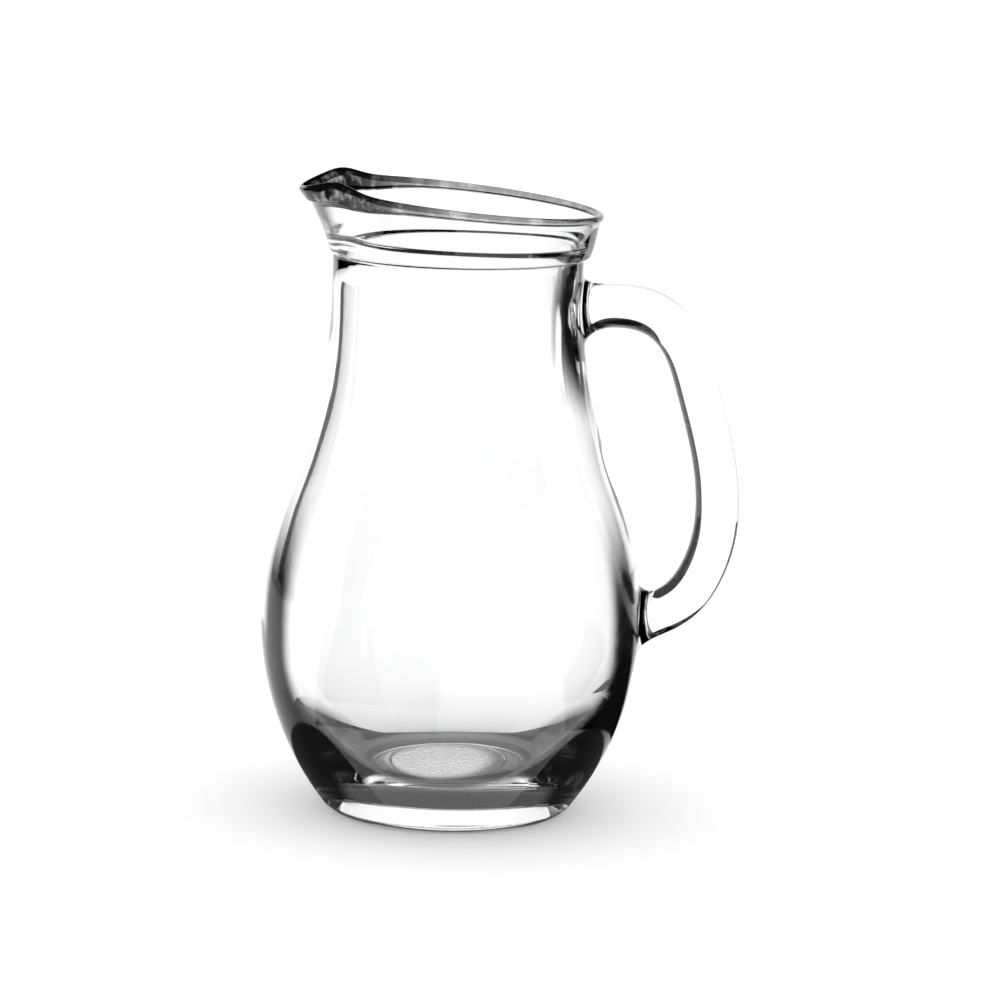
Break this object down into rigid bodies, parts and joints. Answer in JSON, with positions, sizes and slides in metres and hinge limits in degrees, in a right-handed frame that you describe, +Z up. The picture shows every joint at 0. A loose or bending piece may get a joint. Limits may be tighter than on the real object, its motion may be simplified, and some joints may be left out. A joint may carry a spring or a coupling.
{
  "type": "glass water jug",
  "caption": "Clear glass pouring jug with a round belly, slanted mouth, pulled spout and a solid glass side handle.",
  "frame": {"origin": "on the standing face, midway between the belly's far side and the back of the handle", "axes": "+Z up along the body's axis, +X towards the handle, the spout points along -X"},
  "size_m": [0.1759, 0.1404, 0.2349],
  "materials": {
    "body_glass": "clear, fire-polished",
    "handle_glass": "clear, fire-polished"
  },
  "bodies": {
    "root": {"jug_body": "body_glass", "handle": "handle_glass"}
  },
  "joints": []
}
